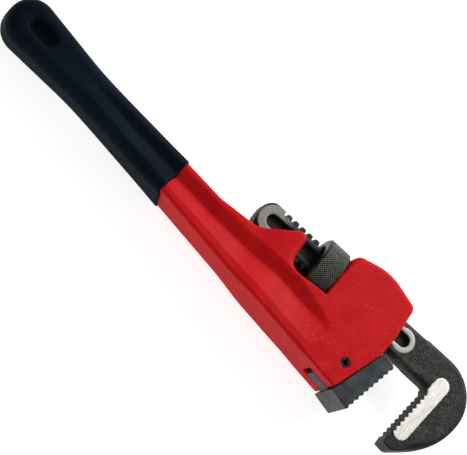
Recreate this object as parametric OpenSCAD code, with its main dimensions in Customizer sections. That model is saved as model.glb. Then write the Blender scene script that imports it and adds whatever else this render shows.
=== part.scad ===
// Straight pipe wrench with a dipped grip. Lengths in millimetres, +Z up out of the upper flank.
// The origin is the middle of the hanging slot, at half thickness. X runs along the hook jaw's shank,
// towards the jaws, and Y runs from the bite towards the toothed outer edge of the shank.

/* [Handle] */
// Angle between the handle's middle line and the hook jaw's shank, in degrees
handle_angle = 5.6; // [3:0.1:8]
// Radius of the casting's round end
end_r = 15.2; // [14:0.1:19]
// Half height of the casting at its waist, under the grip
waist_h = 10.8; // [9:0.1:14]
// Half height of the casting where the grip ends
neck_h = 12.2; // [10:0.1:15]
// Thickness of the casting along the handle
handle_t = 22; // [20:0.5:27]
// Thickness left between the two recesses of the I-beam
web_t = 15.6; // [15.2:0.1:18]
// Height of each flange of the I-beam
flange_h = 4.2; // [3:0.1:6]
// Length of the hanging slot
slot_len = 17.6; // [12:0.1:22]
// Width of the hanging slot
slot_w = 8.4; // [6:0.1:10]

/* [Grip] */
// Distance from the hanging slot to the grip's front edge, at half thickness
grip_len = 115; // [80:1:125]
// Thickness of the dipped coat
dip_t = 1.6; // [1:0.1:2.5]
// Slant of the grip's front edge across the thickness, in degrees
dip_slant = 18; // [0:1:25]

/* [Head] */
// Distance along the shank from the hanging slot to the wall that the nut bears on
head_reach = 224; // [205:1:290]
// Height of the shank's axis above the hanging slot
head_rise = 11.7; // [8:0.1:14]
// Thickness of the head
head_t = 28; // [26:0.5:34]
// Length of the nut's window
window_len = 28; // [24:0.5:29]
// Height of the head above the shank's axis
hump_h = 23.6; // [22:0.1:30]
// Length of the closed part of the head, ahead of the nut
hump_len = 50.5; // [46:0.5:56]

/* [Jaws] */
// Opening between the tooth tips as stored
jaw_gap = 26; // [23:0.5:36]
// Thickness of the hook jaw's forging
hook_t = 13; // [11:0.1:13.6]
// Radius of the shank's two round edges
shank_r = 12.2; // [10.5:0.1:13]
// Length of the shank behind the hook's tooth face
shank_len = 147; // [140:1:150]
// Height of the ground faces above the forging
ground_h = 0.4; // [0.2:0.1:0.6]
// Half width of the long pocket in each flank of the shank
pocket_r = 4.1; // [3:0.1:5]
// Depth of that pocket
pocket_depth = 3; // [1:0.1:4]
// Width of the ground rim round the pocket
rim_w = 3.8; // [2:0.1:4.2]
// Thickness of the heel jaw
heel_t = 26.6; // [20:0.1:27]
// Thickness of the heel jaw's tongue
tongue_t = 10; // [8:0.1:12]
// Number of teeth on each jaw
tooth_count = 9; // [7:1:11]
// Depth of the jaw teeth
tooth_depth = 1.7; // [1:0.1:2.2]

/* [Adjusting nut] */
// Outer radius of the nut
nut_r = 18.5; // [17:0.1:21]
// Length of the nut
nut_len = 16; // [14:0.5:20]
// Pitch of the thread and of the rack
pitch = 5.5; // [5:0.1:6]
// Depth of the thread
thread_depth = 2.1; // [1.5:0.1:2.4]
// Width of the thread's crest
crest_w = 1.5; // [1:0.1:1.8]

/* [Pin and springs] */
// Radius of the heel jaw's pin
pin_r = 2.9; // [2:0.1:3.5]
// Outer radius of the coil spring
coil_r = 3.6; // [3:0.1:4.2]
// Radius of the coil spring's wire
wire_r = 0.55; // [0.4:0.05:0.7]
// Number of turns of the coil spring
coil_turns = 5; // [4:1:7]
// Width of the leaf spring
leaf_w = 9; // [6:0.5:11]
// Thickness of the leaf spring
leaf_t = 0.8; // [0.5:0.1:1]

/* [Clearances] */
// Play each side of the shank in its channel
side_play = 0.4; // [0.3:0.1:0.8]
// Play above and below the shank in its channel
edge_play = 0.4; // [0.3:0.1:0.8]
// Play round the nut in its window
nut_play = 1.1; // [1:0.1:2]
// Play between nut and bearing wall
wall_play = 0.3; // [0.2:0.1:0.6]
// Play between the nut's bore and the shank, and between thread and rack
thread_play = 0.3; // [0.25:0.05:0.5]
// Play each side of the heel jaw's tongue
tongue_play = 0.15; // [0.05:0.05:0.5]
// Play round the heel jaw's pin
pin_play = 0.02; // [0.01:0.01:0.05]
// Play between the springs and what they rest against
spring_play = 0.2; // [0.1:0.05:0.4]

/* [Hidden] */
$fn = 64;
arc_steps = 7;

red = [0.75, 0.14, 0.15];
vinyl = [0.07, 0.09, 0.12];
forging = [0.22, 0.23, 0.22];
steel = [0.45, 0.46, 0.47];
blued = [0.25, 0.27, 0.3];

// Middle of the casting's round end, along the handle from the hanging slot
end_back = -6.5;
// The hook jaw rocks this far about the nut's lower front rim
rock = 2;
// The shank reaches this far back when the jaws are closed
close_travel = 22;
// The thread's flanks widen this much per millimetre of radius
flank_slope = 0.15;
// Everything cut right through runs this much past the faces
over = 1;
deep = 60;

// Heel jaw and hook jaw, measured from the bearing wall on the shank's axis
heel_top = [hump_len + 9.6, -21.5];
heel_bottom = [hump_len + 1.6, -58.2];
seat_top = [hump_len - 1.3, -19.5];
seat_bottom = [hump_len - 13.2, -54.7];
heel_face = heel_top[0];
tooth_face = heel_face + jaw_gap;
hook_top = [0.3, -17.2];
hook_bottom = [-3.3, -51.2];
pin_at = [hump_len - 16.5, -38.6];
pocket_front = tooth_face - 29.7;

hook_outer_r = 27;
hook_back_r = 47;
nut_rear = -wall_play - nut_len;
nut_middle = -wall_play - nut_len / 2;
channel_w = hook_t + 2 * ground_h + 2 * side_play;
thread_r = shank_r + thread_play;
slot_r = shank_r - thread_depth - thread_play;
lead = atan(pitch / (2 * PI * (shank_r - thread_depth / 2)));
shank_end = tooth_face - shank_len;
closed_end = shank_end - close_travel;
rise = hump_len * sin(rock);
drop = -closed_end * sin(rock);
channel_floor = -shank_r - edge_play - drop - leaf_t;
coil_at = -window_len - 7;
rivet_at = -window_len - 30;
coil_depth = 9;
rivet_r = 1.6;
rivet_head_r = 3;
rivet_head_t = 0.7;

// Points of an arc
function arc(c, r, a0, a1, n = arc_steps) =
    [for (i = [0:n]) let (a = a0 + (a1 - a0) * i / n) [c[0] + r * cos(a), c[1] + r * sin(a)]];

// A corner at b, between a and c, rounded to radius r
function corner(a, b, c, r) =
    let (u = (a - b) / norm(a - b), v = (c - b) / norm(c - b), half = acos(u * v) / 2,
         w = (u + v) / norm(u + v), m = b + w * r / sin(half), s = -sign(cross(u, v)),
         mid = atan2(-w[1], -w[0]), sweep = s * (90 - half))
    r == 0 ? [b] : [for (i = [0:arc_steps]) let (t = mid - sweep + 2 * sweep * i / arc_steps)
                    m + r * [cos(t), sin(t)]];

// An outline whose corners are given as [x, y, radius]
function rounded(p) =
    [for (i = [0:len(p) - 1])
        let (n = len(p), a = p[(i + n - 1) % n], b = p[i], c = p[(i + 1) % n])
        each corner([a[0], a[1]], [b[0], b[1]], [c[0], c[1]], b[2])];

// A point given along and across the handle
function on_handle(a, p) =
    [a * cos(handle_angle) + p * sin(handle_angle), -a * sin(handle_angle) + p * cos(handle_angle)];

// A point of the head, from the bearing wall on the shank's axis
function on_head(u, v) = [head_reach + u, head_rise + v];

function with_r(p, r) = [p[0], p[1], r];

module at_head() {
    translate([head_reach, head_rise, 0]) children();
}

module slab(t) {
    translate([0, 0, -t / 2]) linear_extrude(t) children();
}

// Round bar along X from x0 to x1
module bar_x(r, x0, x1) {
    translate([x0, 0, 0]) rotate([0, 90, 0]) cylinder(r = r, h = x1 - x0);
}

// Round bar along Y from y0 to y1
module bar_y(r, y0, y1) {
    translate([0, y0, 0]) rotate([-90, 0, 0]) cylinder(r = r, h = y1 - y0);
}

module stadium(a, b, r) {
    d = b - a;
    n = [-d[1], d[0]] / norm(d) * r;
    polygon([a + n, a - n, b - n, b + n]);
    translate(a) circle(r);
    translate(b) circle(r);
}

// Side outline of the whole casting, grown by m along the handle
module casting_outline(m = 0) {
    neck = head_reach - 84;
    end = end_r + m;
    polygon(rounded([
        with_r(on_handle(40, -waist_h - m), 250),
        with_r(on_handle(grip_len, -neck_h - m), 0),
        with_r(on_head(-35, -45.6), 0),
        with_r(on_head(seat_bottom[0], seat_bottom[1]), 2),
        with_r(on_head(seat_top[0], seat_top[1]), 2),
        with_r(on_head(hump_len, -4), 10),
        with_r(on_head(hump_len - 1.3, hump_h - 5.4), 5),
        with_r(on_head(24, hump_h + 1.6), 36),
        with_r(on_head(1.2, hump_h - 5), 7),
        with_r(on_head(0, 4.2), 0),
        with_r(on_head(-window_len, 4.2), 0),
        with_r(on_head(-33.5, 5.6), 4),
        with_r(on_head(-56, -10.4), 12),
        with_r(on_handle(neck, neck_h + m + 0.4), 30),
        with_r(on_handle(grip_len, neck_h + m), 0),
        with_r(on_handle(40, waist_h + m), 250),
        with_r(on_handle(end_back - end, end), end * 0.88),
        with_r(on_handle(end_back - end, -end), end * 0.88)
    ]));
}

// Edge outline of the casting: its thickness at each place along X, grown by m each side
module thickness_outline(m = 0) {
    t = handle_t / 2 + m;
    head = head_t / 2 + m;
    blend = on_head(-58, 0)[0];
    full = on_head(-32, 0)[0];
    front = on_head(hump_len + 2, 0)[0];
    polygon([[-deep, -t], [blend, -t], [full, -head], [front, -head],
             [front, head], [full, head], [blend, t], [-deep, t]]);
}

module casting_blank(m = 0) {
    intersection() {
        slab(deep) casting_outline(m);
        rotate([90, 0, 0]) translate([0, 0, -200]) linear_extrude(400) thickness_outline(m);
    }
}

// The I-beam's recess in each flank
module flank_recess() {
    outline = rounded([
        with_r(on_handle(18, -waist_h + flange_h), 2),
        with_r(on_handle(40, -waist_h + flange_h), 0),
        with_r(on_handle(grip_len, -neck_h + flange_h), 0),
        with_r(on_head(-35, -40.5), 0),
        with_r(on_head(3, -41), 8),
        with_r(on_head(13, -29), 6),
        with_r(on_head(-22, -22), 20),
        with_r(on_handle(head_reach - 84, neck_h - flange_h), 0),
        with_r(on_handle(grip_len, neck_h - flange_h), 0),
        with_r(on_handle(40, waist_h - flange_h), 0),
        with_r(on_handle(18, waist_h - flange_h), 2)
    ]);
    for (side = [0, 1])
        mirror([0, 0, side]) translate([0, 0, web_t / 2]) linear_extrude(deep) polygon(outline);
}

module hanging_slot(m = 0) {
    half = slot_len / 2 + m;
    r = slot_w / 2 + m;
    slab(deep) rotate([0, 0, -handle_angle]) polygon(rounded([
        [-half, -r, r * 0.98], [half, -r, r * 0.98], [half, r, r * 0.98], [-half, r, r * 0.98]]));
}

// Open channel behind the nut and closed tunnel ahead of it
module shank_way() {
    rear = closed_end - 1.5;
    slab(channel_w) polygon([
        [rear, deep], [rear, channel_floor], [-window_len + over, channel_floor],
        [-window_len + over, deep]]);
    slab(channel_w) polygon([
        [-over, -shank_r - edge_play], [hump_len + 4, -shank_r - edge_play],
        [hump_len + 4, shank_r + edge_play + rise], [-over, shank_r + edge_play]]);
}

module nut_window() {
    bar_x(nut_r + nut_play, -window_len, 0);
    slab(deep) polygon([[-window_len, 0], [0, 0], [0, deep], [-window_len, deep]]);
}

// The beam that the grip covers: the blank without its recesses and with the wider slot
module beam() {
    difference() {
        casting_blank();
        flank_recess();
        hanging_slot(dip_t);
    }
}

module handle_housing() {
    color(red) difference() {
        beam();
        at_head() {
            shank_way();
            nut_window();
            heel_slot();
            translate([pin_at[0], pin_at[1], -deep / 2]) cylinder(r = pin_r + pin_play, h = deep);
            translate([coil_at, 0, 0])
                bar_y(coil_r + spring_play, channel_floor - coil_depth, channel_floor + over);
            translate([rivet_at, 0, 0]) bar_y(rivet_r, channel_floor - 5, channel_floor + over);
        }
    }
}

// Open slot for the heel jaw's tongue
module heel_slot() {
    slab(tongue_t + 2 * tongue_play) polygon(rounded([
        [hump_len + 4, -23.8, 0], [pin_at[0] - 1, -29.8, 3], [pin_at[0] - 13, -50, 3],
        [pin_at[0] - 13.6, -64, 0], [hump_len + 4, -64, 0]]));
}

module grip() {
    color(vinyl) difference() {
        intersection() {
            casting_blank(dip_t);
            translate(on_handle(grip_len, 0)) rotate([0, 0, -handle_angle]) rotate([0, -dip_slant, 0])
                translate([-300, -100, -100]) cube([300, 200, 200]);
        }
        beam();
        hanging_slot();
    }
}

// Tooth tips and roots from a to b, cut into what lies left of that line
function teeth(a, b) =
    let (d = (b - a) / tooth_count, n = [-d[1], d[0]] / norm(d))
    [for (i = [0:tooth_count - 1]) each [a + d * i, a + d * (i + 0.6) + n * tooth_depth], b];

module heel_jaw() {
    block = concat(
        [seat_top + [1.5, 2.7], seat_top + [0.3, 0.6], seat_bottom + [0.1, -1.5],
         heel_bottom + [-1, -1.2]],
        teeth(heel_bottom, heel_top),
        [heel_top + [-0.6, 1.6], heel_top + [-2.2, 2.9]]);
    color(steel) at_head() difference() {
        union() {
            slab(heel_t) polygon(block);
            slab(tongue_t) polygon(rounded([
                with_r(seat_top + [0.5, -6.9], 0),
                with_r(pin_at + [-0.6, 7.2], 3),
                with_r(pin_at + [-9.4, -11.4], 3),
                with_r(pin_at + [-9.8, -14.4], 0),
                with_r(seat_bottom + [1, -0.3], 0)]));
        }
        translate([pin_at[0], pin_at[1], -deep / 2]) cylinder(r = pin_r + pin_play, h = deep);
    }
}

// Rolled spring pin with a slot along it
module heel_jaw_pin() {
    color(blued) at_head() translate([pin_at[0], pin_at[1], 0]) difference() {
        cylinder(r = pin_r, h = head_t, center = true);
        cylinder(r = pin_r * 0.55, h = deep, center = true);
        translate([0, pin_r, 0]) cube([pin_r * 0.3, pin_r * 2, deep], center = true);
    }
}

// Half width of the thread at radius r
function thread_half(r) = crest_w / 2 + (r - shank_r + thread_depth) * flank_slope;

// Height at which radius r meets the shank's flank
function flank_height(r, t = hook_t) = sqrt(r * r - t * t / 4);

// One slot of the rack, across the shank's edge, wide enough where the thread leaves the flank
module rack_slot() {
    bottom = flank_height(slot_r);
    top = shank_r + over;
    low = thread_half(slot_r) + thread_play;
    high = thread_half(thread_r) + thread_play;
    wide = low + (high - low) * (top - bottom) / (flank_height(thread_r) - bottom);
    rotate([0, lead, 0]) slab(deep) polygon([[-low, bottom], [low, bottom], [wide, top], [-wide, top]]);
}

// Slots on both edges, half a pitch apart, in step with the nut
module rack() {
    behind = floor((nut_middle - shank_end - 12) / pitch);
    ahead = ceil((close_travel + nut_len / 2) / pitch);
    for (i = [-behind:ahead]) {
        translate([nut_middle + pitch * i, 0, 0]) rack_slot();
        translate([nut_middle + pitch * (i + 0.5), 0, 0]) rotate([180, 0, 0]) rack_slot();
    }
}

// Outline of the hook, from its tooth face
module hook_outline() {
    back = [2.2, shank_r - hook_outer_r];
    low = [back[0] + hook_outer_r - hook_back_r, back[1]];
    polygon(concat(
        [[-24, -shank_r]],
        arc([-2.9, -shank_r - 4.5], 4.5, 90, 0),
        teeth(hook_top, hook_bottom),
        arc([-3.4, -54.9], 1.9, 180, 250),
        arc([2.6, -52.6], 4.8, 268, 300, 4),
        arc(low, hook_back_r, -50, 0),
        arc(back, hook_outer_r, 0, 90),
        [[-24, shank_r]]));
}

module pocket_outline(m = 0) {
    stadium([shank_end + 10.4, 0], [pocket_front, 0], pocket_r + m);
}

module hook_jaw() {
    pad_a = hook_top + [5.9, 11.5];
    pad_b = hook_bottom + [5.5, 6.9];
    pad_r = 5.3;
    end_land_r = shank_r - 2;
    end_land_x = shank_end + end_land_r + ground_h;
    core_start = shank_end + shank_r - 1;
    land_t = hook_t + 2 * ground_h;
    // Past the nut's thread the rim is no wider than the thread's crest lets it be
    slim_rim = min(pocket_r + rim_w, flank_height(slot_r, land_t)) - pocket_r;
    color(forging) at_head() difference() {
        union() {
            difference() {
                intersection() {
                    slab(hook_t) polygon(rounded([
                        [shank_end, -shank_r, 10], [tooth_face - 8, -shank_r, 0],
                        [tooth_face - 8, shank_r, 0], [shank_end, shank_r, 10]]));
                    bar_x(shank_r, shank_end - over, tooth_face);
                }
                rack();
            }
            intersection() {
                slab(hook_t) square(2 * deep, center = true);
                bar_x(slot_r, core_start, pocket_front);
            }
            translate([tooth_face, 0, 0]) slab(hook_t) hook_outline();
            slab(land_t) pocket_outline(slim_rim);
            translate([pocket_front, 0, 0])
                cylinder(r = pocket_r + rim_w, h = land_t, center = true);
            translate([end_land_x, 0, 0]) difference() {
                cylinder(r = end_land_r, h = land_t, center = true);
                translate([-end_land_x, 0, 0]) rack();
            }
            translate([tooth_face, 0, 0]) slab(land_t) intersection() {
                hook_outline();
                stadium(pad_a, pad_b, pad_r);
            }
        }
        for (side = [0, 1]) mirror([0, 0, side])
            translate([0, 0, hook_t / 2 - pocket_depth]) linear_extrude(deep) pocket_outline();
    }
}

// Helical ridge inside the nut, in step with the rack
module nut_thread() {
    n = 24;
    turns = (nut_len - 4) / pitch;
    rings = floor(n * turns / 2);
    crest = shank_r - thread_depth;
    root = thread_r + 0.6;
    function ring(i) =
        let (a = 360 * i / n, x = nut_middle + pitch * i / n, c = thread_half(crest), d = thread_half(root))
        [[x - c, crest * cos(a), crest * sin(a)], [x + c, crest * cos(a), crest * sin(a)],
         [x + d, root * cos(a), root * sin(a)], [x - d, root * cos(a), root * sin(a)]];
    count = 2 * rings + 1;
    polyhedron(
        [for (i = [-rings:rings]) each ring(i)],
        concat(
            [[0, 1, 2, 3], [for (k = [3:-1:0]) (count - 1) * 4 + k]],
            [for (i = [0:count - 2], k = [0:3])
                let (a = i * 4 + k, b = i * 4 + (k + 1) % 4) [a, a + 4, b + 4, b]]));
}

module adjusting_nut() {
    chamfer = 1.4;
    color(forging) at_head() {
        difference() {
            translate([nut_rear, 0, 0]) rotate([0, 90, 0]) rotate_extrude() polygon([
                [0, 0], [nut_r - chamfer, 0], [nut_r, chamfer], [nut_r, nut_len - chamfer],
                [nut_r - chamfer, nut_len], [0, nut_len]]);
            bar_x(thread_r, -deep, deep);
        }
        nut_thread();
    }
}

module flat_spring() {
    low = channel_floor;
    high = -shank_r - spring_play - leaf_t;
    a = rivet_at;
    b = coil_at;
    color(blued) at_head() difference() {
        slab(leaf_w) polygon([
            [a - 5, low], [a + 6, low], [b - 4, high], [b + 2, high], [b + 6, high - 0.8],
            [b + 6, high - 0.8 + leaf_t], [b + 2, high + leaf_t], [b - 4, high + leaf_t],
            [a + 6, low + leaf_t], [a - 5, low + leaf_t]]);
        translate([a, 0, 0]) bar_y(rivet_r + pin_play, low - over, low + leaf_t + over);
    }
}

module coil_spring() {
    n = 16;
    sides = 8;
    bottom = channel_floor - coil_depth + wire_r;
    top = -shank_r - leaf_t - 2 * spring_play - wire_r;
    rings = n * coil_turns;
    r = coil_r - wire_r;
    function ring(i) =
        let (a = 360 * i / n, y = bottom + (top - bottom) * i / rings)
        [for (k = [0:sides - 1]) let (b = 360 * k / sides, q = r + wire_r * cos(b))
            [q * cos(a), y + wire_r * sin(b), q * sin(a)]];
    color(blued) at_head() translate([coil_at, 0, 0]) polyhedron(
        [for (i = [0:rings]) each ring(i)],
        concat(
            [[for (k = [0:sides - 1]) k], [for (k = [sides - 1:-1:0]) rings * sides + k]],
            [for (i = [0:rings - 1], k = [0:sides - 1])
                let (a = i * sides + k, b = i * sides + (k + 1) % sides)
                [a, a + sides, b + sides, b]]));
}

module spring_rivet() {
    seat = channel_floor + leaf_t;
    color(blued) at_head() translate([rivet_at, 0, 0]) {
        bar_y(rivet_r, channel_floor - 5, seat + 0.1);
        bar_y(rivet_head_r, seat, seat + rivet_head_t);
    }
}

handle_housing();
grip();
hook_jaw();
heel_jaw();
heel_jaw_pin();
adjusting_nut();
flat_spring();
coil_spring();
spring_rivet();
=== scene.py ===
import math

import bpy
import numpy as np
from mathutils import Matrix, Vector


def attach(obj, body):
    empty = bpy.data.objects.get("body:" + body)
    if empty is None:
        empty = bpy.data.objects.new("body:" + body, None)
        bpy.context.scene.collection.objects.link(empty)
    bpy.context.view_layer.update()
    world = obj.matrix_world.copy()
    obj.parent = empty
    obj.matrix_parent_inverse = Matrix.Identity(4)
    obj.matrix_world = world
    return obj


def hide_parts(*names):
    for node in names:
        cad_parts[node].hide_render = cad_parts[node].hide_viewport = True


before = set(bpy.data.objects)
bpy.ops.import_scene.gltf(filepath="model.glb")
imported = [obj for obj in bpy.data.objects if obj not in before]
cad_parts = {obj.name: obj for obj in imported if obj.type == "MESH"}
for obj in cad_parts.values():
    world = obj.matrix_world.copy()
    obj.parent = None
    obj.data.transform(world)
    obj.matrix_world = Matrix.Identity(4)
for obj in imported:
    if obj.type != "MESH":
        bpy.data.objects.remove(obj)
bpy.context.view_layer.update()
print("frame loaded")

# lengths are in millimetres up to the mesh, which is in metres
mm = 0.001
headPlace = (224.0, 11.7)      # bearing wall on the shank's axis
handleTurn = math.radians(5.6)


# shapes are fields in millimetres: negative inside, zero on the surface

def onHandle(a, p):
    # a along the handle and p across it, turned by the handle's angle about the hanging slot
    c, s = math.cos(handleTurn), math.sin(handleTurn)
    return a * c + p * s, -a * s + p * c


def onHead(u, v):
    return headPlace[0] + u, headPlace[1] + v


def step01(t):
    # 3t^2 - 2t^3 between 0 and 1
    t = np.clip(t, 0, 1)
    return t * t * (3 - 2 * t)


def arcPoints(cx, cy, r, start, end, count=9):
    # centre + r (cos, sin) of evenly spaced angles
    t = np.radians(np.linspace(start, end, count))
    return list(zip(cx + r * np.cos(t), cy + r * np.sin(t)))


def roundCorners(corners, count=9):
    # each corner (x, y, r) becomes an arc tangent to both its sides
    points = []
    for i, (bx, by, r) in enumerate(corners):
        b = np.array([bx, by])
        a, c = np.array(corners[i - 1][:2]), np.array(corners[(i + 1) % len(corners)][:2])
        if r == 0:
            points.append((bx, by))
            continue
        u, v = (a - b) / np.linalg.norm(a - b), (c - b) / np.linalg.norm(c - b)
        half = math.acos(float(u @ v)) / 2
        w = (u + v) / np.linalg.norm(u + v)
        centre = b + w * r / math.sin(half)
        middle = math.degrees(math.atan2(-w[1], -w[0]))
        sweep = -np.sign(u[0] * v[1] - u[1] * v[0]) * (90 - math.degrees(half))
        points += arcPoints(centre[0], centre[1], r, middle - sweep, middle + sweep, count)
    return points


def outlineDistance(points, x, y):
    # least distance to any side, negative where a ray along +X crosses an odd number of sides
    best, inside = np.inf, np.zeros(np.broadcast(x, y).shape, bool)
    for (ax, ay), (bx, by) in zip(points, points[1:] + points[:1]):
        ex, ey = bx - ax, by - ay
        px, py = x - ax, y - ay
        t = np.clip((px * ex + py * ey) / (ex * ex + ey * ey + 1e-12), 0, 1)
        best = np.minimum(best, (px - t * ex) ** 2 + (py - t * ey) ** 2)
        inside = inside ^ (((ay > y) != (by > y)) & (px < py * ex / (ey if ey else 1e-9)))
    return np.where(inside, -1, 1) * np.sqrt(best)


def barDistance(x, y, a, b, r):
    # distance to the segment a-b, less r
    ex, ey = b[0] - a[0], b[1] - a[1]
    t = np.clip(((x - a[0]) * ex + (y - a[1]) * ey) / (ex * ex + ey * ey), 0, 1)
    return np.hypot(x - a[0] - t * ex, y - a[1] - t * ey) - r


def plate(d, z, half, r):
    # an outline's distance d carried up to +-half, edges rounded to r:
    # the larger of d and |z| - half, with a circle of r swept round their corner
    a, b = d + r, np.abs(z) - half + r
    return np.minimum(np.maximum(a, b), 0) + np.hypot(np.maximum(a, 0), np.maximum(b, 0)) - r


def meet(a, b, k):
    # the larger of two fields, plus h^2 k / 4 where they come within k, which rounds the edge
    h = np.maximum(k - np.abs(a - b), 0) / k
    return np.maximum(a, b) + h * h * k / 4


def cut(a, b, k):
    return meet(a, -b, k)


def join(a, b, k):
    return -meet(-a, -b, k)


def skin(field, low, high, step):
    # one vertex in each cell that the surface crosses, at the mean of its edge crossings,
    # then moved along the field's slope onto the surface; one quad for each grid edge crossed
    low = np.array(low, float)
    sizes = np.ceil((np.array(high) - low) / step).astype(int) + 1
    axes = [low[i] + step * np.arange(sizes[i]) for i in range(3)]
    f = np.broadcast_to(field(axes[0][:, None, None], axes[1][None, :, None],
                              axes[2][None, None, :]), sizes).copy()
    inside = f < 0
    corners = [np.array([i, j, k]) for i in (0, 1) for j in (0, 1) for k in (0, 1)]
    count = sum(inside[tuple(slice(o, n - 1 + o) for o, n in zip(c, sizes))].astype(np.int8)
                for c in corners)
    cells = np.argwhere((count > 0) & (count < 8))
    number = np.full(count.shape, -1)
    number[tuple(cells.T)] = np.arange(len(cells))
    total, hits = np.zeros((len(cells), 3)), np.zeros(len(cells))
    for p in corners:
        for q in corners:
            if (q - p).sum() != 1 or (q < p).any():
                continue
            fp, fq = f[tuple((cells + p).T)], f[tuple((cells + q).T)]
            crossed = (fp < 0) != (fq < 0)
            t = np.where(crossed, fp / np.where(fp == fq, 1, fp - fq), 0)
            total += crossed[:, None] * (p + t[:, None] * (q - p))
            hits += crossed
    place = low + step * (cells + total / hits[:, None])
    for _ in range(2):
        x, y, z = place.T
        e = step * 0.2
        value = field(x, y, z)
        slope = np.stack([field(x + e, y, z) - field(x - e, y, z),
                          field(x, y + e, z) - field(x, y - e, z),
                          field(x, y, z + e) - field(x, y, z - e)], 1) / (2 * e)
        move = slope * (value / np.maximum((slope ** 2).sum(1), 0.3))[:, None]
        length = np.linalg.norm(move, axis=1, keepdims=True)
        place = place - move * np.minimum(1, step * 0.4 / np.maximum(length, 1e-9))
    quads = []
    for a in range(3):
        b, c = (a + 1) % 3, (a + 2) % 3
        whole = [slice(None)] * 3
        first = inside[tuple(whole[:a] + [slice(0, -1)] + whole[a + 1:])]
        other = inside[tuple(whole[:a] + [slice(1, None)] + whole[a + 1:])]
        g = np.argwhere(first != other)
        g = g[(g[:, b] > 0) & (g[:, c] > 0)]
        eb, ec = np.eye(3, dtype=int)[b], np.eye(3, dtype=int)[c]
        ring = np.stack([number[tuple((g - s).T)] for s in (eb + ec, ec, 0 * eb, eb)], 1)
        outward = first[tuple(g.T)]
        quads.append(np.where(outward[:, None], ring, ring[:, ::-1]))
    return place, np.concatenate(quads)


def addPiece(name, place, quads, body, node):
    mesh = bpy.data.meshes.new(name)
    mesh.vertices.add(len(place))
    mesh.vertices.foreach_set("co", (place * mm).astype(np.float32).ravel())
    mesh.loops.add(quads.size)
    mesh.loops.foreach_set("vertex_index", quads.astype(np.int32).ravel())
    mesh.polygons.add(len(quads))
    mesh.polygons.foreach_set("loop_start", np.arange(0, quads.size, 4, dtype=np.int32))
    mesh.polygons.foreach_set("use_smooth", np.ones(len(quads), bool))
    mesh.update(calc_edges=True)
    mesh.validate()
    piece = bpy.data.objects.new(name, mesh)
    bpy.context.scene.collection.objects.link(piece)
    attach(piece, body)
    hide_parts(node)
    print(name, len(place), "points", 2 * len(quads), "triangles")
    return piece


def addTone(piece, name, values):
    # a value for each point, which the material reads by name
    attribute = piece.data.attributes.new(name, "FLOAT", "POINT")
    attribute.data.foreach_set("value", values.astype(np.float32))


def shade(code):
    # sRGB hex to linear
    c = np.array([int(code[i:i + 2], 16) for i in (0, 2, 4)]) / 255
    c = np.where(c <= 0.04045, c / 12.92, ((c + 0.055) / 1.055) ** 2.4)
    return (*[float(v) for v in c], 1.0)


def addNode(tree, kind, settings=None, links=None, out=0):
    # settings are keyed by input or by the node's own setting, links by input; gives one output
    node = tree.nodes.new("ShaderNode" + kind)
    for key, value in (settings or {}).items():
        if isinstance(key, int) or key in node.inputs:
            node.inputs[key].default_value = value
        else:
            setattr(node, key, value)
    for key, socket in (links or {}).items():
        tree.links.new(socket, node.inputs[key])
    return node.outputs[out]


def newMaterial(name):
    # a material with its tree, its shader and the place on the object
    material = bpy.data.materials.new(name)
    material.use_nodes = True
    tree = material.node_tree
    return material, tree, tree.nodes["Principled BSDF"], addNode(tree, "TexCoord", out="Object")


def setShader(tree, shader, colour, rough, bumps, settings):
    # bumps is a list of (height socket, millimetres), each laid over the one before
    tree.links.new(colour, shader.inputs["Base Color"])
    tree.links.new(rough, shader.inputs["Roughness"])
    normal = {}
    for height, depth in bumps:
        relief = {"Strength": 1.0, "Distance": depth * mm}
        normal = {"Normal": addNode(tree, "Bump", relief, {"Height": height, **normal})}
    for socket in normal.values():
        tree.links.new(socket, shader.inputs["Normal"])
    for key, value in settings.items():
        shader.inputs[key].default_value = value


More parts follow.
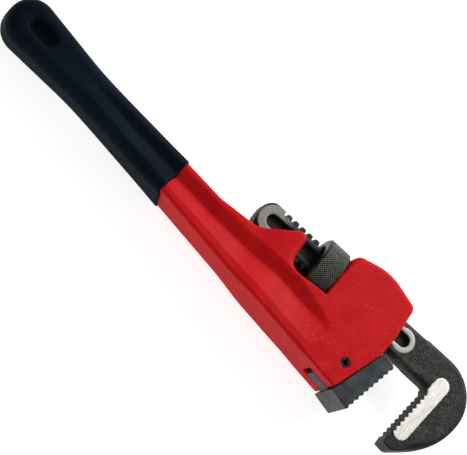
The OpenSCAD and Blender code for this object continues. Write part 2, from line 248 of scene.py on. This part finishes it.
def alkydEnamel():
    # red alkyd enamel on sand-cast ductile iron: satin, smooth on the handle, and on the head a sand
    # grain under the paint, with small pale specks painted on as glints off its facets
    material, tree, shader, where = newMaterial("alkydEnamelOnSandCasting")
    at = {"Vector": where}
    sand = addNode(tree, "TexNoise", {"Scale": 1 / (1.1 * mm), "Detail": 3.0, "Roughness": 0.6},
                   at)
    fine = addNode(tree, "TexNoise", {"Scale": 1 / (0.45 * mm), "Roughness": 0.6}, at)
    patch = addNode(tree, "TexNoise", {"Scale": 1 / (14.0 * mm)}, at)
    facet = addNode(tree, "TexNoise", {"Scale": 1 / (0.7 * mm), "Detail": 1.0}, at)
    along = addNode(tree, "SeparateXYZ", links=at)
    onHeadOnly = addNode(tree, "MapRange", {"From Min": 0.19, "From Max": 0.235}, {0: along})
    uneven = addNode(tree, "MapRange", {"From Min": 0.4, "From Max": 0.6, "To Min": 0.35},
                     {0: patch})
    coarse = addNode(tree, "Math", {"operation": "MULTIPLY"}, {0: onHeadOnly, 1: uneven})
    swell = addNode(tree, "MapRange", {"From Min": 0, "From Max": 1, "To Min": 0.35}, {0: coarse})
    relief = addNode(tree, "Math", {"operation": "MULTIPLY"}, {0: sand, 1: swell})
    # painted glints: pale specks on the head where the grain's facets would catch the light
    bright = addNode(tree, "MapRange", {"From Min": 0.68, "From Max": 0.78}, {0: facet})
    paintedGlint = addNode(tree, "Math", {"operation": "MULTIPLY"}, {0: coarse, 1: bright})
    pooled = addNode(tree, "MapRange", {"From Min": 0.3, "From Max": 0.7}, {0: patch})
    pit = addNode(tree, "MapRange", {"From Min": 0.62, "From Max": 0.8, "To Max": 0.35},
                  {0: fine})
    tint = addNode(tree, "Mix", {"data_type": "RGBA", 6: shade("b4090f"), 7: shade("c20f15")},
                   {0: pooled}, 2)
    tint = addNode(tree, "Mix", {"data_type": "RGBA", 7: shade("90080e")}, {0: pit, 6: tint}, 2)
    # painted highlight colour of the glints
    tint = addNode(tree, "Mix", {"data_type": "RGBA", 7: shade("e07a74")}, {0: paintedGlint, 6: tint}, 2)
    rough = addNode(tree, "MapRange", {"From Min": 0.3, "From Max": 0.7, "To Min": 0.46,
                     "To Max": 0.58}, {0: fine})
    setShader(tree, shader, tint, rough, [(relief, 0.22), (fine, 0.05)],
              {"IOR": 1.5, "Specular IOR Level": 0.08})
    return material


def plastisolDip():
    # blue-black plastisol dip: almost matt, soft orange peel from the oven cure, raw in the slot
    material, tree, shader, where = newMaterial("plastisolDip")
    at = {"Vector": where}
    peel = addNode(tree, "TexNoise", {"Scale": 1 / (3.2 * mm), "Detail": 1.0}, at)
    fine = addNode(tree, "TexNoise", {"Scale": 1 / (0.5 * mm)}, at)
    drift = addNode(tree, "TexNoise", {"Scale": 1 / (25.0 * mm)}, at)
    cloud = addNode(tree, "MapRange", {"From Min": 0.35, "From Max": 0.65}, {0: drift})
    tint = addNode(tree, "Mix", {"data_type": "RGBA", 6: shade("070f18"), 7: shade("0b1622")},
                   {0: cloud}, 2)
    matt = addNode(tree, "Attribute", {"attribute_name": "matt"}, out="Fac")
    film = addNode(tree, "MapRange", {"From Min": 0.3, "From Max": 0.7, "To Min": 0.5,
                    "To Max": 0.62}, {0: fine})
    rough = addNode(tree, "Mix", {"data_type": "FLOAT", 3: 1.0}, {0: matt, 2: film})
    setShader(tree, shader, tint, rough, [(peel, 0.12), (fine, 0.02)],
              {"IOR": 1.52, "Specular IOR Level": 0.03})
    return material


def blackForging():
    # drop forging under black oil scale, mottled olive and black; bright where its lands are ground,
    # their near white partly painted reflection (tone), and near black with painted shade in the
    # pocket, on the shank inside the housing and nut, and along the hook's edges
    material, tree, shader, where = newMaterial("blackForgingWithGroundLands")
    at = {"Vector": where}
    mottle = addNode(tree, "TexNoise", {"Scale": 1 / (4.5 * mm), "Detail": 4.0, "Roughness": 0.6},
                     at)
    scale = addNode(tree, "TexNoise", {"Scale": 1 / (1.6 * mm), "Detail": 3.0, "Roughness": 0.6},
                    at)
    fine = addNode(tree, "TexNoise", {"Scale": 1 / (0.5 * mm)}, at)
    blotch = addNode(tree, "TexNoise", {"Scale": 1 / (14.0 * mm), "Detail": 1.0}, at)
    # grinding lines 0.6 mm apart, eight times as long as they are wide
    across = addNode(tree, "Mapping", {"Scale": (1.0, 0.12, 1.0)}, at)
    lines = addNode(tree, "TexNoise", {"Scale": 1 / (0.6 * mm)}, {"Vector": across})
    tone = addNode(tree, "Attribute", {"attribute_name": "tone"}, out="Fac")
    paintedShade = addNode(tree, "Attribute", {"attribute_name": "paintedShade"}, out="Fac")
    olive = addNode(tree, "MapRange", {"From Min": 0.4, "From Max": 0.62}, {0: mottle})
    black = addNode(tree, "MapRange", {"From Min": 0.44, "From Max": 0.58}, {0: blotch})
    flake = addNode(tree, "MapRange", {"From Min": 0.5, "From Max": 0.7, "To Max": 0.7},
                    {0: scale})
    streak = addNode(tree, "MapRange", {"From Min": 0.3, "From Max": 0.7}, {0: lines})
    dark = addNode(tree, "Mix", {"data_type": "RGBA", 6: shade("090b0b"), 7: shade("34382f")},
                   {0: olive}, 2)
    dark = addNode(tree, "Mix", {"data_type": "RGBA", 7: shade("0e1010")}, {0: black, 6: dark}, 2)
    dark = addNode(tree, "Mix", {"data_type": "RGBA", 7: shade("4b4e42")}, {0: flake, 6: dark}, 2)
    # painted shade, near black, from the attribute set on the pocket, the housed shank and the hook's
    # edges
    dark = addNode(tree, "Mix", {"data_type": "RGBA", 7: shade("0d0f0f")}, {0: paintedShade, 6: dark}, 2)
    # the ground steel: pale in itself, painted near white to stand for its reflection
    bright = addNode(tree, "Mix", {"data_type": "RGBA", 6: shade("d9d5cc"), 7: shade("f3efe7")},
                     {0: streak}, 2)
    tint = addNode(tree, "Mix", {"data_type": "RGBA"}, {0: tone, 6: dark, 7: bright}, 2)
    scaleRough = addNode(tree, "MapRange", {"From Min": 0.3, "From Max": 0.7, "To Min": 0.48,
                          "To Max": 0.64}, {0: fine})
    groundRough = addNode(tree, "MapRange", {"From Min": 0.3, "From Max": 0.7, "To Min": 0.3,
                           "To Max": 0.42}, {0: lines})
    rough = addNode(tree, "Mix", {"data_type": "FLOAT"}, {0: tone, 2: scaleRough, 3: groundRough})
    flat = addNode(tree, "MapRange", {"From Min": 0, "From Max": 1, "To Min": 1.0,
                    "To Max": 0.04}, {0: tone})
    relief = addNode(tree, "Math", {"operation": "MULTIPLY"}, {0: scale, 1: flat})
    setShader(tree, shader, tint, rough, [(relief, 0.25), (lines, 0.008)],
              {"Metallic": 0.25, "Specular IOR Level": 0.3})
    return material


def blackNut():
    # oil-blackened turned steel, with a painted highlight on the tips of its knurl (tone)
    material, tree, shader, where = newMaterial("oilBlackenedKnurledSteel")
    at = {"Vector": where}
    fine = addNode(tree, "TexNoise", {"Scale": 1 / (0.4 * mm)}, at)
    cloud = addNode(tree, "TexNoise", {"Scale": 1 / (3.0 * mm), "Detail": 3.0}, at)
    mottle = addNode(tree, "MapRange", {"From Min": 0.4, "From Max": 0.6}, {0: cloud})
    tone = addNode(tree, "Attribute", {"attribute_name": "tone"}, out="Fac")
    dark = addNode(tree, "Mix", {"data_type": "RGBA", 6: shade("0c0e0e"), 7: shade("262a22")},
                   {0: mottle}, 2)
    tint = addNode(tree, "Mix", {"data_type": "RGBA", 7: shade("a3a498")}, {0: tone, 6: dark}, 2)
    rough = addNode(tree, "MapRange", {"From Min": 0.3, "From Max": 0.7, "To Min": 0.34,
                     "To Max": 0.5}, {0: fine})
    setShader(tree, shader, tint, rough, [(fine, 0.03)], {"Metallic": 0.65})
    return material


def jawSteel():
    # milled tool steel, oiled: dark grey with faint mill lines across the flank
    material, tree, shader, where = newMaterial("milledJawSteel")
    at = {"Vector": where}
    across = addNode(tree, "Mapping", {"Scale": (1.0, 0.1, 1.0)}, at)
    lines = addNode(tree, "TexNoise", {"Scale": 1 / (0.7 * mm)}, {"Vector": across})
    fine = addNode(tree, "TexNoise", {"Scale": 1 / (0.5 * mm)}, at)
    oil = addNode(tree, "TexNoise", {"Scale": 1 / (7.0 * mm), "Detail": 3.0}, at)
    stain = addNode(tree, "MapRange", {"From Min": 0.35, "From Max": 0.65}, {0: oil})
    millLine = addNode(tree, "MapRange", {"From Min": 0.55, "From Max": 0.75, "To Max": 0.3},
                       {0: lines})
    tint = addNode(tree, "Mix", {"data_type": "RGBA", 6: shade("22262a"), 7: shade("35393b")},
                   {0: stain}, 2)
    tint = addNode(tree, "Mix", {"data_type": "RGBA", 7: shade("5a5e60")}, {0: millLine, 6: tint},
                   2)
    rough = addNode(tree, "MapRange", {"From Min": 0.3, "From Max": 0.7, "To Min": 0.36,
                     "To Max": 0.5}, {0: fine})
    setShader(tree, shader, tint, rough, [(lines, 0.02), (fine, 0.03)], {"Metallic": 0.6})
    return material


def springSteel():
    # blued spring steel: dark, smooth, slightly blue
    material, tree, shader, where = newMaterial("bluedSpringSteel")
    stain = addNode(tree, "TexNoise", {"Scale": 1 / (2.0 * mm)}, {"Vector": where})
    blue = addNode(tree, "MapRange", {"From Min": 0.35, "From Max": 0.65}, {0: stain})
    tint = addNode(tree, "Mix", {"data_type": "RGBA", 6: shade("15181c"), 7: shade("33383f")},
                   {0: blue}, 2)
    rough = addNode(tree, "MapRange", {"From Min": 0.3, "From Max": 0.7, "To Min": 0.28,
                     "To Max": 0.4}, {0: stain})
    setShader(tree, shader, tint, rough, [], {"Metallic": 0.9})
    return material


# the casting: I-beam handle and head in one
casting = {
    "edge": 2.0, "headEdge": 3.2, "seatEdge": 1.3,        # rounding of the outer edges
    "handleHalf": 11.0, "headHalf": 14.0,                 # half thickness
    "start": 92.0, "step": 0.66,                          # the dip hides what lies further back
    "windowHalf": 14.0, "roomRadius": 19.6,               # the nut's window and the room round it
    "wayHalf": 7.3, "wayBelow": 12.6, "wayAbove": 12.7, "rockSlope": 0.034,
    "channelBelow": 16.3, "channelEnd": -84.4,            # the springs' channel under the shank
    "slotHalf": 5.15, "pinAt": (34.0, -38.6), "pinHole": 2.95,
    # the valley: greatest depth, then its top line, the wall's foot and the lower flange along X
    "valley": 4.3,
    "valleyX": [0, 60, 100, 118, 145, 175, 203, 228, 240],
    "valleyTop": [6.0, 1.2, -1.6, -3.0, -4.4, -4.4, -5.2, -11.5, -17.0],
    "wallFoot": [1.0, -4.4, -7.6, -9.4, -12.0, -12.8, -13.7, -17.4, -20.0],
    "valleyFoot": [-5.0, -12.0, -16.8, -18.8, -21.5, -25.4, -29.5, -32.5, -33.0],
}

castingOutline = roundCorners([
    (*onHandle(40, -10.8), 250), (*onHandle(115, -12.2), 0), (*onHead(-35, -45.6), 0),
    (*onHead(37.3, -54.7), 2), (*onHead(49.2, -19.5), 2), (*onHead(50.5, -4), 10),
    (*onHead(49.2, 18.2), 5), (*onHead(24, 25.2), 36), (*onHead(1.2, 18.6), 7),
    (*onHead(0, 4.2), 0), (*onHead(-28, 4.2), 0), (*onHead(-33.5, 5.6), 4),
    (*onHead(-56, -10.4), 12), (*onHandle(140, 12.6), 30), (*onHandle(115, 12.2), 0),
    (*onHandle(40, 10.8), 250), (*onHandle(-21.7, 15.2), 13.4), (*onHandle(-21.7, -15.2), 13.4)])

heelSlot = roundCorners([
    (*onHead(54.5, -23.8), 0), (*onHead(33, -29.8), 3), (*onHead(21, -50), 3),
    (*onHead(20.4, -64), 0), (*onHead(54.5, -64), 0)])


def valleyDepth(x, y):
    # depth of the I-beam's valley: a wall down from the top flange, then a floor that rises evenly
    # to the lower flange; both fade into the head
    top, foot, low = (np.interp(x, casting["valleyX"], casting[k])
                      for k in ("valleyTop", "wallFoot", "valleyFoot"))
    t = (top - y) / (top - foot)
    wall = 0.5 * step01(t) + 0.5 * np.clip(t, 0, 1)
    floor = 1 - np.clip((foot - y) / (foot - low), 0, 1)
    return casting["valley"] * wall * floor * step01((244 - x) / 34) * step01((x - 14) / 12)


def castingField(x, y, z):
    # rounded plate of the outline, less its valley, the shank's way, the nut's room, the heel jaw's
    # slot and the pin's hole
    c = casting
    u, v = x - headPlace[0], y - headPlace[1]
    half = c["handleHalf"] + (c["headHalf"] - c["handleHalf"]) * step01((u + 58) / 28)
    edge = c["edge"] + (c["headEdge"] - c["edge"]) * step01((u + 10) / 30)
    edge = edge + (c["seatEdge"] - edge) * step01((-8 - v) / 14) * step01(u / 20)
    d = plate(outlineDistance(castingOutline, x, y), z, half - valleyDepth(x, y), edge)
    # the window's rear lower corner is well filled, its front one is square to seat the nut
    corner = np.interp(u, [-19, -10], [9.0, 0.6])
    nutRoom = meet(np.abs(u + c["windowHalf"]) - c["windowHalf"],
                   np.minimum(np.hypot(v, z) - c["roomRadius"], -v), corner)
    d = cut(d, nutRoom, np.interp(u, [-28, -18, -8, 0], [5.0, 4.0, 2.0, 1.6]))
    sides = np.abs(z) - c["wayHalf"]
    behind = np.maximum(-c["channelBelow"] - v, np.maximum(c["channelEnd"] - u, u + 27))
    d = cut(d, np.maximum(sides, behind), 1.6)
    # ahead the way opens upwards, so that the jaw can rock
    roof = v - c["wayAbove"] - c["rockSlope"] * np.maximum(u, 0)
    opening = np.maximum(-c["wayBelow"] - v, roof)
    d = cut(d, np.maximum(np.maximum(sides, opening), -1 - u), 1.0)
    d = cut(d, np.maximum(outlineDistance(heelSlot, x, y), np.abs(z) - c["slotHalf"]), 0.8)
    d = cut(d, np.hypot(u - c["pinAt"][0], v - c["pinAt"][1]) - c["pinHole"], 0.7)
    return np.maximum(d, c["start"] - x)


place, quads = skin(castingField, (90, -46, -16), (278, 38, 16), casting["step"])
castHandle = addPiece("castHandle", place, quads, "housing", "handle_housing")
castHandle.data.materials.append(alkydEnamel())


# the dipped grip, a sleeve over the casting's rear end
grip = {
    "coat": 1.6, "half": 12.6, "front": 115.0, "slant": math.radians(18),
    "slotHalf": 4.6, "slotR": 4.2, "lip": 3.6, "step": 0.8,
    "along": [0, 60, 100, 120], "edge": [8.0, 8.0, 6.4, 4.6],    # edge rounding along the handle
    "softness": 0.7,                                             # share of the valley
    "wave": 0.25,                                                # ripple at the front
}
slotEnds = ((-grip["slotHalf"], 0), (grip["slotHalf"], 0))


def onGrip(x, y):
    # the reverse of onHandle: how far along and across the handle a place lies
    c, s = math.cos(handleTurn), math.sin(handleTurn)
    return x * c - y * s, x * s + y * c


def gripField(x, y, z):
    # the casting's outline grown by the coat, with wide edges and a soft copy of the valley, ended
    # by a slanted plane that ripples and pierced by the hanging slot
    g = grip
    a, p = onGrip(x, y)
    half = g["half"] - g["softness"] * valleyDepth(x, y) * step01((a - 25) / 60)
    edge = np.interp(a, g["along"], g["edge"])
    d = plate(outlineDistance(castingOutline, x, y) - g["coat"], z, half, edge)
    front = (a - g["front"]) * math.cos(g["slant"]) + z * math.sin(g["slant"])
    d = meet(d, front + g["wave"] * np.sin(p * 0.7 + z * 0.4), 1.2)
    return cut(d, barDistance(a, p, *slotEnds, g["slotR"]), g["lip"])


place, quads = skin(gripField, (-26, -28, -14.4), (124, 20, 14.4), grip["step"])
dipGrip = addPiece("dipGrip", place, quads, "housing", "grip")
slotWay = barDistance(*onGrip(place[:, 0], place[:, 1]), *slotEnds, grip["slotR"])
addTone(dipGrip, "matt", step01(1 - slotWay / 2.5))
dipGrip.data.materials.append(plastisolDip())


# the hook jaw: racked shank and hook in one forging
hook = {
    "face": 310.1, "end": 163.1, "half": 6.5, "land": 6.88, "radius": 12.2,
    "edge": 2.8, "toothEdge": 0.5, "inner": 4.4, "nose": 4.6,     # edge rounding
    "pitch": 5.5, "lead": math.tan(math.radians(4.49)), "nutMiddle": 215.7,
    "slotFloor": 9.8, "slotHalf": 1.0, "slotFrom": 7.3, "flank": 0.12, "rack": (-41.3, 35.8),
    "pocketR": 4.1, "pocketDepth": 3.0, "rimR": 6.9, "frontR": 7.9, "rearR": 10.2, "padR": 5.3,
    "teeth": 9, "toothDepth": 1.7, "step": 0.56,
}


def teethPoints(a, b, count, depth):
    # from each tip a long straight flank falls depth in 0.6 of the pitch, then the short flank
    # rises to the next tip
    a, b = np.array(a, float), np.array(b, float)
    d = (b - a) / count
    n = np.array([-d[1], d[0]]) / np.linalg.norm(d) * depth
    return [tuple(q) for i in range(count) for q in (a + d * i, a + d * (i + 0.6) + n)] + [tuple(b)]


hookOutline = [(hook["face"] + u, headPlace[1] + v) for u, v in (
    [(-24, -12.2)] + arcPoints(-2.9, -16.7, 4.5, 90, 0)
    + teethPoints((0.3, -17.2), (-3.3, -51.2), hook["teeth"], hook["toothDepth"])
    + arcPoints(-3.4, -54.9, 1.9, 180, 250, 6) + arcPoints(2.6, -52.6, 4.8, 268, 300, 5)
    + arcPoints(-17.8, -14.8, 47, -50, 0, 20) + arcPoints(2.2, -14.8, 27, 0, 90, 20)
    + [(-24, 12.2)])]

shankOutline = roundCorners([
    (hook["end"], -0.5, 10), (hook["face"] - 8, -0.5, 0),
    (hook["face"] - 8, 23.9, 0), (hook["end"], 23.9, 10)])

padEnds = ((hook["face"] + 6.2, 6.0), (hook["face"] + 2.2, -32.6))
pocketEnds = ((hook["end"] + 10.4, headPlace[1]), (hook["face"] - 30, headPlace[1]))


def landDistance(x, y):
    # the ground lands: rim round the pocket, wider at its two ends, and the pad behind the teeth
    h = hook
    front = np.hypot(x - pocketEnds[1][0], y - headPlace[1]) - h["frontR"]
    rear = np.hypot(x - h["end"] - 10.6, y - headPlace[1]) - h["rearR"]
    rim = np.minimum(barDistance(x, y, *pocketEnds, h["rimR"]), np.minimum(front, rear))
    return rim, barDistance(x, y, *padEnds, h["padR"])


def hookField(x, y, z):
    # rounded plate of shank and hook, turned round the shank, lands proud, pocket and rack cut
    h = hook
    u, v = x - h["nutMiddle"], y - headPlace[1]
    shankSide, outline = outlineDistance(shankOutline, x, y), outlineDistance(hookOutline, x, y)
    # edges: crisp at the teeth, wide at the inner corner and round the nose, even along the back
    line = x - h["face"] + 0.106 * (y + 2)
    away = np.maximum(step01((line - 4) / 8), step01((v + 19) / 3))
    corner = step01((-6 - v) / 10) * step01((v + 19) / 4) * step01((6 - line) / 6)
    edge = h["toothEdge"] + (h["edge"] - h["toothEdge"]) * away
    edge = edge + (h["inner"] - edge) * corner
    edge = edge + (h["nose"] - edge) * step01((-30 - v) / 16) * step01((line - 3) / 8)
    d = plate(np.minimum(shankSide, outline), z, h["half"], edge)
    # the shank is also turned to its radius, which lets go as it runs into the hook
    turned = np.hypot(v, z) - h["radius"] - 6 * step01((x - h["face"] + 20) / 17)
    d = meet(d, np.where(x < h["face"] - 3, turned, -50), 0.8)
    rim, pad = landDistance(x, y)
    land = np.maximum(np.minimum(rim, pad), np.minimum(shankSide, outline) + 0.15)
    d = np.minimum(d, plate(land, z, h["land"], 0.25))
    pocket = barDistance(x, y, *pocketEnds, h["pocketR"]) + 0.25 * (h["half"] - np.abs(z))
    d = cut(d, np.maximum(pocket, h["half"] - h["pocketDepth"] - np.abs(z)), 0.9)
    # the rack: slots a pitch apart, leaning by the thread's lead, half a pitch on at the other edge
    along = u - h["lead"] * z * np.where(v > 0, 1, -1) + np.where(v > 0, 0, h["pitch"] / 2)
    slot = np.abs(along - h["pitch"] * np.round(along / h["pitch"]))
    slot = slot - h["slotHalf"] - h["flank"] * (np.abs(v) - h["slotFrom"])
    limit = np.maximum(h["rack"][0] - u, u - h["rack"][1])
    return cut(d, np.maximum(np.maximum(slot, h["slotFloor"] - np.hypot(v, z)), limit), 0.4)


place, quads = skin(hookField, (161, -50, -8), (341, 26, 8), hook["step"])
hookJaw = addPiece("forgedHookJaw", place, quads, "hook", "hook_jaw")
x, y, z = place.T
pad = landDistance(x, y)[1]
ground = step01((np.abs(z) - hook["half"] - 0.12) / 0.2)
# painted reflection on the ground rim: some at its rear end, more at its front end, none along the
# middle
rimGleam = np.interp(x, [174, 186, 266, 272], [0.26, 0.0, 0.0, 0.5])    # bright only at the rim's ends
addTone(hookJaw, "tone", ground * np.where(pad < 0.4, 1.0, rimGleam))
# painted shade, near black: in the pocket, along the shank where it runs in the housing and nut, and
# near the hook's edges and inner corner
inPocket = step01(-barDistance(x, y, *pocketEnds, 4.3)) * (np.abs(z) < 6.2)
edgeShade = step01(1 + outlineDistance(hookOutline, x, y) / 9) * (x > hook["face"] - 12)
housedShankShade = step01((x - 178) / 14) * step01((266 - x) / 8)
addTone(hookJaw, "paintedShade", np.maximum(np.maximum(inPocket, 0.75 * housedShankShade), 0.7 * edgeShade))
hookJaw.data.materials.append(blackForging())


# the heel jaw: toothed block with a thinner tongue
heel = {
    "half": 13.3, "tongueHalf": 5.0, "blockEdge": 0.45, "tongueEdge": 0.6,
    "pinAt": (258.0, -26.9), "pinHole": 2.95, "teeth": 9, "toothDepth": 1.7, "step": 0.45,
}

heelBlock = ([onHead(50.7, -16.8), onHead(49.5, -18.9), onHead(37.4, -56.2), onHead(51.1, -59.4)]
             + teethPoints(onHead(52.1, -58.2), onHead(60.1, -21.5), heel["teeth"],
                           heel["toothDepth"])
             + [onHead(59.5, -19.9), onHead(57.9, -18.6)])
heelTongue = roundCorners([
    (*onHead(49.7, -26.4), 0), (*onHead(33.4, -31.4), 3), (*onHead(24.6, -50), 3),
    (*onHead(24.2, -53), 0), (*onHead(38.3, -55), 0)])


def heelField(x, y, z):
    # toothed block and thinner tongue, both plates with barely broken edges, pierced for the pin
    h = heel
    block = plate(outlineDistance(heelBlock, x, y), z, h["half"], h["blockEdge"])
    tongue = plate(outlineDistance(heelTongue, x, y), z, h["tongueHalf"], h["tongueEdge"])
    hole = np.hypot(x - h["pinAt"][0], y - h["pinAt"][1]) - h["pinHole"]
    return cut(np.minimum(block, tongue), hole, 0.4)


place, quads = skin(heelField, (246, -50, -14), (287, -3, 14), heel["step"])
heelJaw = addPiece("toothedHeelJaw", place, quads, "housing", "heel_jaw")
heelJaw.data.materials.append(jawSteel())


# the adjusting nut
nut = {
    "rear": 207.7, "length": 16.0, "radius": 18.5, "bore": 12.5, "chamfer": 1.3,
    "diamonds": 72, "groove": 0.55, "turnSteps": 576, "rimSteps": 68, "boreSteps": 34,
    "pitch": 5.5, "middle": 215.7, "threadDepth": 2.3, "threadHalf": 1.15, "threadFlank": 0.4,
}


def nutGrid():
    # a profile carried round the axis: out along the rear face, over the knurled rim, in along the
    # front face and back through the bore; the rim sinks in two families of V grooves,
    # n t / 2 pi +- x / gap, and the bore rises into the thread where x / pitch - t / 2 pi is whole
    n = nut
    shoulder = n["radius"] - n["chamfer"]
    rim = np.linspace(n["chamfer"], n["length"] - n["chamfer"], n["rimSteps"])
    bore = np.linspace(n["length"] - 0.4, 0.4, n["boreSteps"])
    face = np.linspace(n["bore"] + 0.5, shoulder - 0.4, 5)
    profile = np.concatenate([0 * face, [0.15], rim, [n["length"] - 0.15],
                              0 * face + n["length"], bore])
    radius = np.concatenate([face, [shoulder], 0 * rim + n["radius"], [shoulder], face[::-1],
                             0 * bore + n["bore"]])
    onRim = np.zeros(len(profile))
    onRim[len(face) + 1:len(face) + 1 + len(rim)] = 1
    inBore = np.zeros(len(profile))
    inBore[-len(bore):] = 1
    t = np.linspace(0, 2 * np.pi, n["turnSteps"], endpoint=False)
    angle, x = np.meshgrid(t, profile, indexing="ij")
    gap = 2 * np.pi * n["radius"] / n["diamonds"]
    turns = n["diamonds"] * angle / (2 * np.pi)
    valleys = [np.abs((turns + side * x / gap) % 1 - 0.5) * 2 for side in (1, -1)]
    groove = np.clip(np.maximum(*valleys) * 1.5 - 0.5, 0, 1)
    ends = step01(np.minimum(x - n["chamfer"], n["length"] - n["chamfer"] - x) / 0.8 + 0.4)
    turn = ((x + n["rear"] - n["middle"]) / n["pitch"] - angle / (2 * np.pi) + 0.5) % 1 - 0.5
    ridge = np.clip((n["threadHalf"] - np.abs(turn) * n["pitch"]) / n["threadFlank"], 0, 1)
    ridge = ridge * n["threadDepth"] * step01(np.minimum(x, n["length"] - x) / 1.6 - 0.6)
    r = radius - onRim * n["groove"] * groove * ends - inBore * ridge
    place = np.stack([x + n["rear"], headPlace[1] + r * np.cos(angle), r * np.sin(angle)], -1)
    count = len(profile)
    i, j = np.meshgrid(np.arange(len(t)), np.arange(count), indexing="ij")
    nextI, nextJ = (i + 1) % len(t) * count, (j + 1) % count
    quads = np.stack([nextI + j, nextI + nextJ, i * count + nextJ, i * count + j], -1)
    tips = onRim * (1 - groove) ** 2 * ends
    return place.reshape(-1, 3), quads.reshape(-1, 4), tips.ravel()


place, quads, tips = nutGrid()
knurledNut = addPiece("knurledNut", place, quads, "nut", "adjusting_nut")
# painted highlight on the knurl's tips
addTone(knurledNut, "tone", tips * 0.42)
knurledNut.data.materials.append(blackNut())


# the pin, the springs and the rivet keep their own shapes
blued = springSteel()
for name in ("heel_jaw_pin", "flat_spring", "coil_spring", "spring_rivet"):
    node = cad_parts[name]
    node.data.materials.clear()
    node.data.materials.append(blued)
    for polygon in node.data.polygons:
        polygon.material_index = 0
print("pieces made")


# lengths here are in metres
studio = {
    "target": Vector((0.15841, -0.0055, 0.0)), "camera": Vector((-0.0085, -0.4403, 1.0460)),
    "right": Vector((0.7315, 0.5803, 0.3579)), "up": Vector((-0.666, 0.7205, 0.1932)),
    "lens": 150.0, "sensor": 36.0,
    "keyFrom": Vector((0.45, 0.9, 0.6)), "keyPower": 15.8, "keySize": 0.7,
    "fillFrom": Vector((-0.5, -0.9, 0.6)), "fillPower": 3.0, "fillSize": 1.2,
    "sky": 0.34, "floor": -0.0190, "floorSpan": 4.0,
    "floorGlow": 0.75,                                    # a lit table, which keeps the shadows faint
}

camera = bpy.data.objects.new("camera", bpy.data.cameras.new("camera"))
bpy.context.scene.collection.objects.link(camera)
back = studio["right"].cross(studio["up"]).normalized()
right = studio["right"].normalized()
turn = Matrix((right, back.cross(right), back)).transposed().to_4x4()
camera.matrix_world = Matrix.Translation(studio["camera"]) @ turn
camera.data.lens = studio["lens"]
camera.data.sensor_width = studio["sensor"]
camera.data.clip_end = 20.0
bpy.context.scene.camera = camera


def softBox(name, away, power, size):
    # a square lamp that stands away from the target and faces it
    lamp = bpy.data.objects.new(name, bpy.data.lights.new(name, "AREA"))
    lamp.data.energy, lamp.data.size = power, size
    lamp.location = studio["target"] + away
    lamp.rotation_euler = (-away).to_track_quat("-Z", "Y").to_euler()
    bpy.context.scene.collection.objects.link(lamp)


softBox("keyLight", studio["keyFrom"], studio["keyPower"], studio["keySize"])
softBox("fillLight", studio["fillFrom"], studio["fillPower"], studio["fillSize"])

world = bpy.data.worlds.new("studioSky")
world.use_nodes = True
background = world.node_tree.nodes["Background"]
background.inputs["Color"].default_value = (1.0, 1.0, 1.0, 1.0)
background.inputs["Strength"].default_value = studio["sky"]
bpy.context.scene.world = world
bpy.context.scene.view_settings.view_transform = "Standard"

floorMesh = bpy.data.meshes.new("paperFloor")
far = studio["floorSpan"]
corners = [(-far, -far), (far, -far), (far, far), (-far, far)]
floorMesh.from_pydata([(*c, studio["floor"]) for c in corners], [], [(0, 1, 2, 3)])
paperFloor = bpy.data.objects.new("paperFloor", floorMesh)
bpy.context.scene.collection.objects.link(paperFloor)
# matt white paper
paper, tree, shader, where = newMaterial("whitePaper")
shader.inputs["Base Color"].default_value = shade("d0d0d0")
shader.inputs["Roughness"].default_value = 0.9
shader.inputs["Emission Color"].default_value = shade("ffffff")
shader.inputs["Emission Strength"].default_value = studio["floorGlow"]
floorMesh.materials.append(paper)
print("studio set")
